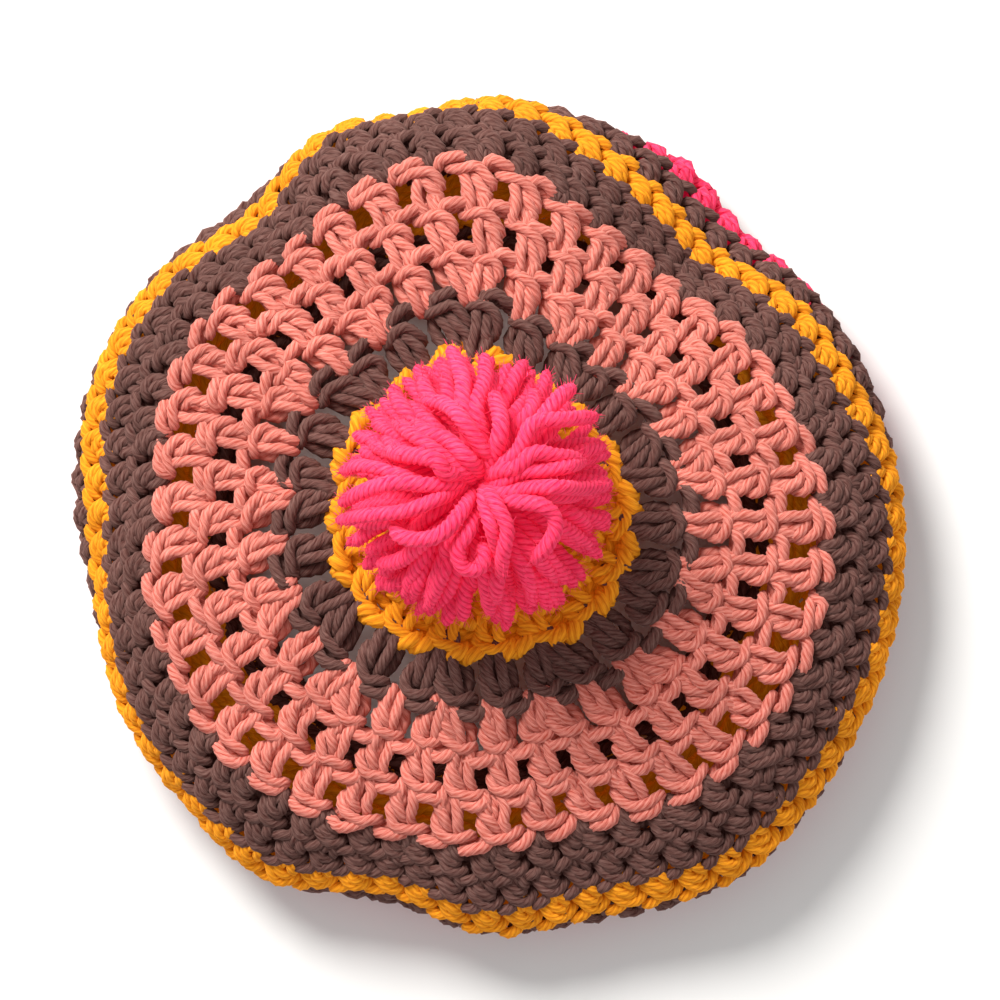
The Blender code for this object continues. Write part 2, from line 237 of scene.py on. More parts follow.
def on_wall(azimuth, length, lift):
    """Points at the given azimuths and lengths, lifted off the middle of the wall."""
    azimuth, length = np.broadcast_arrays(np.asarray(azimuth, float) % 360.0, length)
    row = azimuth / 360.0 * AZIMUTH_STEP_COUNT
    column = np.clip(length / hem_length, 0.0, 1.0) * (LENGTH_STEP_COUNT - 1)
    row_low = np.minimum(row.astype(int), AZIMUTH_STEP_COUNT - 1)
    column_low = np.minimum(column.astype(int), LENGTH_STEP_COUNT - 2)
    row_share = (row - row_low)[..., None]
    column_share = (column - column_low)[..., None]
    result = []
    for grid in surface:
        corners = [grid[row_low + step, column_low + hop] for step in (0, 1) for hop in (0, 1)]
        near = corners[0] * (1 - column_share) + corners[1] * column_share
        far = corners[2] * (1 - column_share) + corners[3] * column_share
        result.append(near * (1 - row_share) + far * row_share)
    middle, outward = result
    outward /= np.linalg.norm(outward, axis=-1, keepdims=True)
    return middle + outward * np.asarray(lift)[..., None]


# The yarn: its radius, how far it runs for one turn of its plies, and as shares of the radius how deep the
# grooves between the plies are, how uneven its surface is and how thin its ends draw in. Yarn on the crown
# is worked finer, with a place every FINE_STEP, than the plain yarn that hides underneath
YARN_RADIUS = 0.00195
PLY_TURN = 0.0145
PLY_COUNT = 6
PLAIN_PLY_COUNT = 4
GROOVE = 0.15
LUMPS = 0.03
END_SHARE = 0.45
END_BLUNTNESS = 8
FINE_STEP = 0.0017
PLAIN_STEP = 0.0028
FEWEST_STEPS = 3
EASE_COUNT = 8
PATTERN_TURNS = 40.0  # each strand starts somewhere within this many turns of the fibres' pattern


def eased(points, spacing):
    """Ease lines of a few points into Catmull-Rom curves, with a place about every spacing metres."""
    points = np.asarray(points, float)
    before = 2 * points[:, :1] - points[:, 1:2]
    after = 2 * points[:, -1:] - points[:, -2:-1]
    padded = np.concatenate((before, points, after), axis=1)
    share = np.linspace(0.0, 1.0, EASE_COUNT, endpoint=False)[None, :, None]
    fine = []
    for knot in range(points.shape[1] - 1):
        a, b, c, d = (padded[:, knot + hop, None] for hop in range(4))
        curve = 2 * b + (c - a) * share + (2 * a - 5 * b + 4 * c - d) * share**2
        fine.append((curve + (3 * b - a - 3 * c + d) * share**3) / 2)
    fine.append(points[:, -1:])
    fine = np.concatenate(fine, axis=1)
    run = np.zeros(fine.shape[:2])
    run[:, 1:] = np.cumsum(np.linalg.norm(np.diff(fine, axis=1), axis=2), axis=1)
    places = max(round(run[:, -1].mean() / spacing), FEWEST_STEPS) + 1
    even = np.empty((len(points), places, 3))
    for number in range(len(points)):
        at = np.linspace(0.0, run[number, -1], places)
        for axis in range(3):
            even[number, :, axis] = np.interp(at, run[number], fine[number, :, axis])
    return even


def spun(
    points,
    chance,
    radius=YARN_RADIUS,
    fine=True,
    plies=None,
    turn=PLY_TURN,
    spacing=None,
    end=END_SHARE,
    blunt=END_BLUNTNESS,
):
    """Yarn along each line: a round section with a bump for each ply, turning as it goes.

    At both ends the yarn draws in to a share of its radius, given by end, and later the blunter it is.
    """
    lines = eased(points, spacing or (FINE_STEP if fine else PLAIN_STEP))
    count, places = lines.shape[:2]
    plies = plies or (PLY_COUNT if fine else PLAIN_PLY_COUNT)
    sides = plies * 2
    along = np.gradient(lines, axis=1)
    along /= np.maximum(np.linalg.norm(along, axis=2, keepdims=True), TINY)
    across = np.empty_like(lines)
    steepest = np.eye(3)[np.argmin(np.abs(along[:, 0]), axis=1)]
    across[:, 0] = np.cross(along[:, 0], steepest)
    for place in range(places):
        if place:
            across[:, place] = across[:, place - 1]
        lean = (across[:, place] * along[:, place]).sum(axis=1, keepdims=True)
        across[:, place] -= along[:, place] * lean
        across[:, place] /= np.linalg.norm(across[:, place], axis=1, keepdims=True)
    beside = np.cross(along, across)
    run = np.zeros((count, places))
    run[:, 1:] = np.cumsum(np.linalg.norm(np.diff(lines, axis=1), axis=2), axis=1)
    start_turn = chance.uniform(0.0, 2 * np.pi, (count, 1, 1))
    corner = np.arange(sides)
    angle = 2 * np.pi * corner / sides + start_turn - 2 * np.pi * run[:, :, None] / turn
    crest = corner % 2.0
    share = np.linspace(-1.0, 1.0, places)
    swell = end + (1 - end) * np.sqrt(1 - share**blunt)
    thick = radius * swell[None, :, None] * (1 - GROOVE * (1 - crest))[None, None, :]
    thick = thick * (1 + chance.normal(0.0, LUMPS, (count, places, sides)))
    ring = lines[:, :, None] + thick[..., None] * (
        np.cos(angle)[..., None] * across[:, :, None] + np.sin(angle)[..., None] * beside[:, :, None]
    )
    offset = chance.uniform(0.0, PATTERN_TURNS, (count, 1))
    return {
        "ring": ring,
        "crest": np.broadcast_to(crest, ring.shape[:3]),
        "around": corner / sides * plies,
        "along": (run + offset * turn) / turn,
    }


def yarn_mesh(name, strands):
    """One mesh of all the strands: closed tubes, with their ends capped where they hide in the stitches."""
    corners, crests, loops, sizes, maps = [], [], [], [], []
    base = 0
    for strand in strands:
        count, places, sides = strand["ring"].shape[:3]
        index = base + np.arange(count * places * sides).reshape(count, places, sides)
        after = np.roll(index, -1, axis=2)
        quads = np.stack((index[:, :-1], after[:, :-1], after[:, 1:], index[:, 1:]), axis=-1)
        around = strand["around"]
        width = around[1] - around[0]
        u = np.stack((around, around + width, around + width, around), axis=-1)
        v = strand["along"]
        flat = np.broadcast_to(u[None, None], (count, places - 1, sides, 4))
        rise = np.stack((v[:, :-1], v[:, :-1], v[:, 1:], v[:, 1:]), axis=-1)[:, :, None]
        maps.append(np.stack((flat, np.broadcast_to(rise, flat.shape)), axis=-1).reshape(-1, 2))
        loops.append(quads.reshape(-1))
        sizes.append(np.full(count * (places - 1) * sides, 4))
        for cap, level in ((index[:, 0, ::-1], v[:, 0]), (index[:, -1], v[:, -1])):
            loops.append(cap.reshape(-1))
            sizes.append(np.full(count, sides))
            ends = (np.broadcast_to(around, cap.shape), np.broadcast_to(level[:, None], cap.shape))
            maps.append(np.stack(ends, axis=-1).reshape(-1, 2))
        corners.append(strand["ring"].reshape(-1, 3))
        crests.append(strand["crest"].reshape(-1))
        base += count * places * sides
    corners = np.concatenate(corners)
    loops = np.concatenate(loops)
    sizes = np.concatenate(sizes)
    mesh = bpy.data.meshes.new(name)
    mesh.vertices.add(len(corners))
    mesh.vertices.foreach_set("co", corners.reshape(-1))
    mesh.loops.add(len(loops))
    mesh.loops.foreach_set("vertex_index", loops.astype(np.int32))
    mesh.polygons.add(len(sizes))
    starts = np.concatenate(((0,), np.cumsum(sizes)[:-1]))
    mesh.polygons.foreach_set("loop_start", starts.astype(np.int32))
    mesh.polygons.foreach_set("use_smooth", np.ones(len(sizes), bool))
    mesh.update(calc_edges=True)
    mesh.uv_layers.new(name="yarn").data.foreach_set("uv", np.concatenate(maps).reshape(-1))
    mesh.attributes.new("crest", "FLOAT", "POINT").data.foreach_set("value", np.concatenate(crests))
    mesh.validate()
    return mesh


def yarn_piece(name, node, strands, finish):
    """A worked round, in place of the plain ring that carries it."""
    mesh = yarn_mesh(name, strands)
    mesh.materials.append(finish)
    piece = bpy.data.objects.new(name, mesh)
    bpy.context.scene.collection.objects.link(piece)
    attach(piece, "root")
    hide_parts(node)


# The sockets of a colour mix node
MIX_SHARE = 0
MIX_FIRST = 6
MIX_SECOND = 7
MIX_RESULT = 2


def yarn_finish(name, colour, groove_shade_colour, light_colour, glow, groove_shade_width=1.0):
    """Matt spun acrylic: shade painted darker between the plies, with fine fibres along them and a bloom of
    loose hair.

    The glow, a faint painted one in the painted groove shade's colour, stands for the light that soaks
    through the yarn.
    """
    finish = bpy.data.materials.new(name)
    finish.use_nodes = True
    nodes = finish.node_tree.nodes
    link = finish.node_tree.links.new
    shader = nodes["Principled BSDF"]
    shader.inputs["Roughness"].default_value = 0.92
    shader.inputs["Specular IOR Level"].default_value = 0.18
    shader.inputs["Sheen Weight"].default_value = 0.35
    shader.inputs["Sheen Roughness"].default_value = 0.45
    shader.inputs["Sheen Tint"].default_value = (*light_colour, 1.0)
    # Painted glow: the yarn gives off a little light in its groove shade colour, standing for light that
    # soaks through it
    shader.inputs["Emission Color"].default_value = (*groove_shade_colour, 1.0)
    shader.inputs["Emission Strength"].default_value = glow

    # Painted shade: where the crest attribute falls towards the grooves between the plies, the colour mixes
    # into the groove shade colour
    crest = nodes.new("ShaderNodeAttribute")
    crest.attribute_name = "crest"
    plies = nodes.new("ShaderNodeMapRange")
    plies.inputs["From Max"].default_value = groove_shade_width
    link(crest.outputs["Fac"], plies.inputs["Value"])
    groove_shade = nodes.new("ShaderNodeMix")
    groove_shade.data_type = "RGBA"
    groove_shade.inputs[MIX_FIRST].default_value = (*groove_shade_colour, 1.0)
    groove_shade.inputs[MIX_SECOND].default_value = (*colour, 1.0)
    link(plies.outputs["Result"], groove_shade.inputs[MIX_SHARE])

    place = nodes.new("ShaderNodeUVMap")
    place.uv_map = "yarn"
    stretch = nodes.new("ShaderNodeMapping")
    stretch.inputs["Scale"].default_value = (6.0, 6.0, 1.0)
    link(place.outputs["UV"], stretch.inputs["Vector"])
    fibres = nodes.new("ShaderNodeTexNoise")
    fibres.inputs["Scale"].default_value = 1.0
    fibres.inputs["Detail"].default_value = 3.0
    link(stretch.outputs["Vector"], fibres.inputs["Vector"])
    streaks = nodes.new("ShaderNodeMapRange")
    streaks.inputs["From Min"].default_value = 0.40
    streaks.inputs["From Max"].default_value = 0.72
    streaks.inputs["To Max"].default_value = 0.55
    link(fibres.outputs["Fac"], streaks.inputs["Value"])
    bright = nodes.new("ShaderNodeMix")
    bright.data_type = "RGBA"
    bright.inputs[MIX_SECOND].default_value = (*light_colour, 1.0)
    link(streaks.outputs["Result"], bright.inputs[MIX_SHARE])
    link(groove_shade.outputs[MIX_RESULT], bright.inputs[MIX_FIRST])

    body = nodes.new("ShaderNodeTexCoord")
    patches = nodes.new("ShaderNodeTexNoise")
    patches.inputs["Scale"].default_value = 60.0
    patches.inputs["Detail"].default_value = 2.0
    link(body.outputs["Object"], patches.inputs["Vector"])
    shade = nodes.new("ShaderNodeMapRange")
    shade.inputs["From Min"].default_value = 0.3
    shade.inputs["From Max"].default_value = 0.7
    shade.inputs["To Min"].default_value = 0.84
    shade.inputs["To Max"].default_value = 1.10
    link(patches.outputs["Fac"], shade.inputs["Value"])
    worn = nodes.new("ShaderNodeVectorMath")
    worn.operation = "SCALE"
    link(bright.outputs[MIX_RESULT], worn.inputs["Vector"])
    link(shade.outputs["Result"], worn.inputs["Scale"])
    link(worn.outputs["Vector"], shader.inputs["Base Color"])

    relief = nodes.new("ShaderNodeBump")
    relief.inputs["Strength"].default_value = 0.7
    relief.inputs["Distance"].default_value = 0.0005
    link(fibres.outputs["Fac"], relief.inputs["Height"])
    link(relief.outputs["Normal"], shader.inputs["Normal"])
    return finish


# How much stitches differ by chance: sideways as a share of the pitch, up as a share of the round's height,
# and off the wall in millimetres from place to place and in metres from stitch to stitch. The strands
# behind the stitches stray along the wall by the last of these
SIDE_CHANCE = 0.03
UP_CHANCE = 0.025
OFF_CHANCE = 0.16
STITCH_CHANCE = 0.0002


def stitched(strand, feet, heads, pitch, start, height, chance, lift=0.0):
    """The points of one strand of a stitch, at every stitch of a round.

    A row of the strand is how far it lies to the left of the stitch as a share of the pitch, how far up the
    round as a share of its height, and how far it stands off the middle of the wall in millimetres.
    """
    left, up, off = np.array(strand).T
    feet, heads = np.asarray(feet)[:, None], np.asarray(heads)[:, None]
    azimuth = feet + (heads - feet) * np.clip(up, 0.0, 1.0) + left * pitch
    azimuth = azimuth + chance.normal(0.0, SIDE_CHANCE, azimuth.shape) * pitch
    length = start + (up + chance.normal(0.0, UP_CHANCE, azimuth.shape)) * height
    stand = (off + chance.normal(0.0, OFF_CHANCE, azimuth.shape)) / 1000 + lift
    stand = stand + chance.normal(0.0, STITCH_CHANCE, (len(feet), 1))
    return on_wall(azimuth, length, stand)


BACKING_RADIUS = 0.0023
BACKING_STEP = 0.0032
BACKING_POINT_COUNT = 4
BACKING_OVERLAP = 4.0
BACKING_SWELL = 0.0004


def backing(points, chance):
    """A strand that runs round behind the stitches, where only little of it shows."""
    return spun(points, chance, BACKING_RADIUS, False, spacing=BACKING_STEP)


def even_round(count, turn):
    """The azimuths of a round's stitches or spaces, the first one a share of the pitch past zero."""
    return 360.0 * (np.arange(count) + turn) / count


def wavy_round(start, count, stand, sway, chance):
    """Points of a strand that runs all the way round behind the stitches, its ends just overlapping."""
    azimuth = np.linspace(0.0, 360.0, count * BACKING_POINT_COUNT, endpoint=False)
    azimuth = np.append(azimuth, 360.0 + BACKING_OVERLAP) + chance.uniform(0.0, 360.0)
    wave = np.radians(azimuth * count)
    length = start + sway * np.sin(wave) + chance.normal(0.0, STITCH_CHANCE, azimuth.shape)
    return on_wall(azimuth, length, stand + BACKING_SWELL * np.cos(wave))[None]


# The front of a tall stitch, strand by strand: a bar that wraps over its top and down the right side, a
# second strand that slants down under the bar, a leg that leans up to the left and its shorter partner
TALL_WRAP = (
    # left, up, off
    (0.58, 0.88, -1.8),
    (0.50, 0.82, 0.0),
    (0.35, 0.85, 1.6),
    (0.14, 0.88, 2.4),
    (-0.08, 0.83, 2.4),
    (-0.22, 0.70, 1.8),
    (-0.28, 0.52, 0.6),
    (-0.26, 0.38, -1.0),
)
TALL_SLANT = (
    # left, up, off
    (0.12, 0.80, -1.0),
    (0.03, 0.66, 0.8),
    (-0.08, 0.50, 1.9),
    (-0.18, 0.34, 1.7),
    (-0.24, 0.20, 0.6),
    (-0.24, 0.08, -1.0),
)
TALL_LEG = (
    # left, up, off
    (0.27, 0.88, -1.2),
    (0.24, 0.72, 0.6),
    (0.21, 0.50, 1.8),
    (0.19, 0.26, 2.1),
    (0.18, 0.04, 1.7),
    (0.16, -0.12, 0.4),
    (0.13, -0.20, -1.4),
)
TALL_PARTNER = (
    # left, up, off
    (-0.16, 0.54, -1.0),
    (-0.16, 0.36, 0.8),
    (-0.17, 0.16, 1.5),
    (-0.17, -0.01, 1.3),
    (-0.16, -0.12, 0.3),
    (-0.13, -0.20, -1.4),
)
TALL_FRONT = (TALL_WRAP, TALL_SLANT, TALL_LEG, TALL_PARTNER)

# The ridge that closes a gold round, two short fat loops for each stitch
GOLD_RIDGE_RADIUS = 0.0027
GOLD_RIDGE_LOOPS = (
    (
        # left, up, off
        (0.20, 1.20, -1.8),
        (0.24, 1.12, 0.4),
        (0.33, 1.02, 2.4),
        (0.44, 0.93, 2.4),
        (0.53, 0.86, 0.4),
        (0.57, 0.80, -1.8),
    ),
    (
        # left, up, off
        (0.46, 1.16, -1.8),
        (0.52, 1.10, 0.6),
        (0.62, 1.00, 2.5),
        (0.73, 0.92, 2.2),
        (0.81, 0.84, 0.2),
        (0.84, 0.78, -1.8),
    ),
)

GOLD_STITCHES = (12, 18, 18, 18)
GOLD_BACKING_SHARES = (0.08, 0.40, 0.72)
GOLD_BACKING_DEPTH = 0.0026
BACKING_SWAY = 0.0006
FOOT_SHARE = 0.69
gold_finish = yarn_finish(
    "gold_yarn_spun",
    colour=(0.74, 0.270, 0.008),
    # painted shade between the plies, also the colour of the painted glow
    groove_shade_colour=(0.44, 0.105, 0.001),
    light_colour=(1.0, 0.46, 0.03),
    glow=0.2,
)
chance = np.random.default_rng(11)
gold_strands = []
gold_step = (CENTRE_RADIUS - RING_RADIUS) / len(GOLD_STITCHES)
for number, count in enumerate(GOLD_STITCHES):
    fine = number == len(GOLD_STITCHES) - 1
    low = RING_RADIUS + number * gold_step
    feet = even_round(count, FOOT_SHARE)
    for strand in TALL_FRONT:
        points = stitched(strand, feet, feet, 360.0 / count, low, gold_step, chance)
        gold_strands.append(spun(points, chance, fine=fine))
    for loop in GOLD_RIDGE_LOOPS:
        points = stitched(loop, feet, feet, 360.0 / count, low, gold_step, chance)
        gold_strands.append(spun(points, chance, GOLD_RIDGE_RADIUS, fine=fine))
    for share in GOLD_BACKING_SHARES:
        line = wavy_round(low + share * gold_step, count, -GOLD_BACKING_DEPTH, BACKING_SWAY, chance)
        gold_strands.append(backing(line, chance))
yarn_piece("crown_centre_stitches", "crown_centre", gold_strands, gold_finish)


# The inner brown round: tall stitches of the same yarn in brown, two and one by turns, hooked into the
# spaces of the gold round. The twos spread like a fan, a wide gap lies beside each space, and a ridge of
# loops closes the round. The round above is hooked in between those loops.
INNER_GAPS = 18
INNER_REACH = 0.0018  # how much further down than the round's own height its feet are hooked in
brown_finish = yarn_finish(
    "brown_yarn_spun",
    colour=(0.104, 0.045, 0.036),
    # painted shade between the plies, also the colour of the painted glow
    groove_shade_colour=(0.040, 0.007, 0.005),
    light_colour=(0.25, 0.145, 0.125),
    glow=0.1,
)

# The back of a tall stitch: a strand behind it and one that fills its middle. In the inner brown and the
# first salmon round a third one bulges out behind the hole beside the stitch
TALL_CORE = (
    # left, up, off
    (0.03, -0.14, -1.2),
    (0.10, 0.10, -2.0),
    (0.16, 0.34, -2.4),
    (0.14, 0.60, -2.4),
    (0.06, 0.94, -2.0),
)
TALL_FILL = (
    # left, up, off
    (-0.02, -0.14, -0.4),
    (-0.03, 0.12, 0.0),
    (-0.05, 0.36, 0.0),
    (-0.08, 0.60, -0.4),
    (-0.04, 0.90, -1.2),
)
TALL_SIDE = (
    # left, up, off
    (0.12, -0.10, -1.4),
    (0.30, 0.10, -2.2),
    (0.45, 0.32, -2.8),
    (0.50, 0.54, -2.8),
    (0.40, 0.78, -2.4),
    (0.20, 1.00, -2.0),
)
TALL_BACK = (TALL_CORE, TALL_FILL)
FULL_BACK = (TALL_CORE, TALL_FILL, TALL_SIDE)

# The ridge along the top of a round: a fat loop of yarn between each two feet of the round above
RIDGE_RADIUS = 0.0021
RIDGE_LOOP = (
    # left, up, off
    (0.92, 0.84, -1.6),
    (0.86, 0.94, 0.2),
    (0.74, 1.05, 1.9),
    (0.56, 1.10, 2.4),
    (0.37, 1.11, 2.0),
    (0.19, 1.10, 0.6),
    (0.04, 1.08, -1.2),
)
RIDGE_BACKING_DEPTH = 0.0018

# How far the feet and the heads of two stitches in one space stand to its sides, as shares of the pitch of
# the spaces
PAIR_FOOT_SPREAD = 0.10
PAIR_HEAD_SPREAD = 1 / 3


def paired_round(spaces):
    """Feet and heads of a round worked two stitches and one by turns into spaces, and its pitch."""
    pitch = 360.0 / len(spaces)
    double, single = spaces[::2], spaces[1::2]
    feet = np.concatenate((double - PAIR_FOOT_SPREAD * pitch, double + PAIR_FOOT_SPREAD * pitch, single))
    heads = np.concatenate((double - PAIR_HEAD_SPREAD * pitch, double + PAIR_HEAD_SPREAD * pitch, single))
    return feet, heads, 360.0 / len(feet)


def ridge(feet, start, height, chance):
    """The ridge on top of a round, its loops lying between the feet of the round above."""
    feet = np.sort(feet % 360.0)
    points = stitched(RIDGE_LOOP, feet, feet, 360.0 / len(feet), start - height, height, chance)
    return spun(points, chance, RIDGE_RADIUS)


def tall_round(feet, heads, pitch, start, height, next_feet, chance, reach=0.0, back=TALL_BACK):
    """A round of tall stitches whose feet reach down, the ridge on it, and a strand behind the ridge."""
    strands = []
    for group, radius, fine in ((TALL_FRONT, YARN_RADIUS, True), (back, BACKING_RADIUS, False)):
        for strand in group:
            points = stitched(strand, feet, heads, pitch, start - reach, height + reach, chance)
            strands.append(spun(points, chance, radius, fine))
    strands.append(ridge(next_feet, start + height, height, chance))
    line = wavy_round(start + height, len(feet), -RIDGE_BACKING_DEPTH, BACKING_SWAY, chance)
    strands.append(backing(line, chance))
    return strands


PINK_GAPS = (26, 39, 42)
pink_spaces = [even_round(gaps, FOOT_SHARE) for gaps in PINK_GAPS]
feet, heads, pitch = paired_round(even_round(INNER_GAPS, FOOT_SHARE))
chance = np.random.default_rng(12)
inner_strands = tall_round(
    feet, heads, pitch, CENTRE_RADIUS, INNER_ROUND_HEIGHT, pink_spaces[0], chance, INNER_REACH, FULL_BACK
)
yarn_piece("inner_brown_stitches", "inner_brown_round", inner_strands, brown_finish)

# The three rounds in salmon yarn, worked like the inner round with a gap beside each foot. The first again
# has two stitches and one by turns, as the circle widens. The other two are single stitches all the way.
PINK_STITCH_HEIGHT = 0.0141
OUTER_SPACES = 48
OUTER_FOOT_SHARE = 0.25
salmon_finish = yarn_finish(
    "salmon_yarn_spun",
    colour=(0.54, 0.176, 0.134),
    # painted shade between the plies, also the colour of the painted glow
    groove_shade_colour=(0.32, 0.034, 0.018),
    light_colour=(0.86, 0.39, 0.33),
    glow=0.16,
)
outer_spaces = even_round(OUTER_SPACES, OUTER_FOOT_SHARE)
start = CENTRE_RADIUS + INNER_ROUND_HEIGHT
for number, spaces in enumerate(pink_spaces):
    chance = np.random.default_rng(20 + number)
    if number == 0:
        feet, heads, pitch = paired_round(spaces)
        back = FULL_BACK
    else:
        feet, heads, pitch = spaces, spaces, 360.0 / len(spaces)
        back = TALL_BACK
    next_feet = pink_spaces[number + 1] if number + 1 < len(pink_spaces) else outer_spaces
    strands = tall_round(feet, heads, pitch, start, PINK_STITCH_HEIGHT, next_feet, chance, back=back)
    name, node = f"pink_stitches_{number + 1}", f"pink_round_{number + 1}"
    yarn_piece(name, node, strands, salmon_finish)
    start += PINK_STITCH_HEIGHT


# The two outer brown rounds turn the crown down towards the rim. They, the gold edge and the rounds under it
# are short close stitches: two legs that spread from the ridge below, two strands that arch side by side
# over them, and a loop of the ridge on top.
SHORT_OVER = (
    # left, up, off
    (0.48, 0.76, -1.4),
    (0.40, 0.88, 0.4),
    (0.18, 0.98, 1.9),
    (-0.08, 0.92, 2.5),
    (-0.29, 0.70, 2.1),
    (-0.44, 0.44, 0.9),
    (-0.48, 0.26, -1.2),
)
SHORT_UNDER = (
    # left, up, off
    (0.24, 0.70, -0.9),
    (0.14, 0.71, 0.9),
    (0.00, 0.66, 2.0),
    (-0.16, 0.50, 2.1),
    (-0.30, 0.28, 1.2),
    (-0.36, 0.12, -0.8),
)
SHORT_LEFT_LEG = (
    # left, up, off
    (0.24, 0.62, -0.4),
    (0.19, 0.48, 0.9),
    (0.12, 0.28, 1.6),
    (0.05, 0.08, 1.3),
    (0.00, -0.12, -0.6),
)
SHORT_RIGHT_LEG = (
    # left, up, off
    (-0.15, 0.44, 0.0),
    (-0.13, 0.26, 1.1),
    (-0.07, 0.08, 1.1),
    (-0.01, -0.12, -0.6),
)
SHORT_LOOP = (
    # left, up, off
    (0.94, 0.80, -1.4),
    (0.89, 0.93, 0.2),
    (0.75, 1.09, 1.9),
    (0.55, 1.17, 2.3),
    (0.37, 1.21, 1.5),
    (0.26, 1.28, -0.8),
)
SHORT_STITCH = (SHORT_OVER, SHORT_UNDER, SHORT_LEFT_LEG, SHORT_RIGHT_LEG, SHORT_LOOP)
BACKING_SHARES = (0.10, 0.48, 0.88)
BACKING_DEPTH = 0.0030
SHORT_BACKING_SWAY = 0.0008


def short_round(feet, heads, start, height, chance, fine=True, lift=0.0):
    """A round of short stitches, with strands running behind them."""
    pitch = 360.0 / len(feet)
    strands = [
        spun(stitched(strand, feet, heads, pitch, start, height, chance, lift), chance, fine=fine)
        for strand in SHORT_STITCH
    ]
    for share in BACKING_SHARES:
        line = wavy_round(start + share * height, len(feet), lift - BACKING_DEPTH, SHORT_BACKING_SWAY, chance)
        strands.append(backing(line, chance))
    return strands


OUTER_DRIFT = 0.08  # how far the stitches of a round stand on from those below, as a share of their pitch
OUTER_STITCH_HEIGHT = 0.0112
OUTER_LIFT = -0.0004
outer_feet, outer_heads, _ = paired_round(outer_spaces)
for number in (1, 2):
    chance = np.random.default_rng(30 + number)
    strands = short_round(outer_feet, outer_heads, start, OUTER_STITCH_HEIGHT, chance, lift=OUTER_LIFT)
    name, node = f"outer_brown_stitches_{number}", f"outer_brown_round_{number}"
    yarn_piece(name, node, strands, brown_finish)
    start += OUTER_STITCH_HEIGHT
    outer_feet = outer_heads + OUTER_DRIFT * 360.0 / len(outer_heads)
    outer_heads = outer_feet

# The gold edge: one round of short stitches in gold yarn, crocheted on along the rim. The stitches are a
# little taller than the round's own height, so they swell over the brown rounds on both sides.
EDGE_SPREAD = 0.0007
EDGE_LIFT = -0.0002
chance = np.random.default_rng(40)
edge_low = start - EDGE_SPREAD
edge_height = EDGE_ROUND_HEIGHT + 3 * EDGE_SPREAD
strands = short_round(outer_feet, outer_heads, edge_low, edge_height, chance, lift=EDGE_LIFT)
yarn_piece("gold_edge_stitches", "gold_edge_round", strands, gold_finish)
start += EDGE_ROUND_HEIGHT

# The underside: a brown, a bright pink and another brown round, then two gold ones that draw in to the
# headband. They show only from below and at the folds, so their yarn is worked a little plainer.
UNDER_LIFT = -0.0006
bright_finish = yarn_finish(
    "bright_pink_yarn_spun",
    colour=(0.90, 0.034, 0.12),
    # painted shade between the plies, also the colour of the painted glow
    groove_shade_colour=(0.52, 0.001, 0.030),
    light_colour=(1.0, 0.14, 0.25),
    glow=0.3,
    groove_shade_width=0.7,
)
for name, slot, finish, seed, height_share in (
    # name, slot, finish, seed, height as a share of an under round's
    ("under_brown", "brown_yarn", brown_finish, 50, 1.16),
    ("under_bright", "bright_pink_yarn", bright_finish, 51, 0.86),
    ("under_dark", "brown_yarn", brown_finish, 52, 0.98),
):
    chance = np.random.default_rng(seed)
    outer_feet = outer_feet + OUTER_DRIFT * 360.0 / len(outer_feet)
    height = UNDER_ROUND_HEIGHT * height_share
    strands = short_round(outer_feet, outer_feet, start, height, chance, fine=False, lift=UNDER_LIFT)
    yarn_piece(f"{name}_stitches", f"{name}_round", strands, finish)
    start += height

GOLD_UNDER_STITCHES = 60
GOLD_UNDER_ROUNDS = 2
chance = np.random.default_rng(53)
strands = []
height = (band_start - start) / GOLD_UNDER_ROUNDS
for number in range(GOLD_UNDER_ROUNDS):
    feet = even_round(GOLD_UNDER_STITCHES, OUTER_DRIFT * number)
    strands += short_round(feet, feet, start, height, chance, fine=False, lift=UNDER_LIFT)
    start += height
yarn_piece("under_gold_stitches", "under_gold_rounds", strands, gold_finish)

# The headband: two close rounds of brown yarn that grip the head, worked on from the gold ones. The hem is
# the last ridge, and the rounds stop short of the floor by the roll of its loops.
BAND_STITCHES = 50
BAND_ROUNDS = 2
HEM_ROLL = 0.0038
chance = np.random.default_rng(54)
strands = []
height = (HEADBAND_HEIGHT - HEM_ROLL) / BAND_ROUNDS
for number in range(BAND_ROUNDS):
    feet = even_round(BAND_STITCHES, OUTER_DRIFT * number)
    strands += short_round(feet, feet, start, height, chance, fine=False)
    start += height
yarn_piece("headband_stitches", "headband", strands, brown_finish)


# The pompom: a hank of thick bright pink yarn tied at its middle and sewn down on the gold centre. Its
# strands lie out from the tie over the top like petals, and closer layers fill it down to the crown.
POMPOM_YARN_RADIUS = 0.0027
POMPOM_PLY_TURN = 0.0115
POMPOM_PLIES = 5
POMPOM_STEP = 0.0012
POMPOM_PLAIN_STEP = 0.0018
POMPOM_END_SHARE = 0.3
POMPOM_END_BLUNTNESS = 6
TIE_X = 0.0006
TIE_Y = 0.0032
pompom_low, pompom_high = (Vector(corner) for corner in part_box("pompom"))
pompom_middle = (pompom_low + pompom_high) / 2
pompom_reach = (pompom_high.x - pompom_low.x + pompom_high.y - pompom_low.y) / 4
pompom_height = pompom_high.z - pompom_low.z

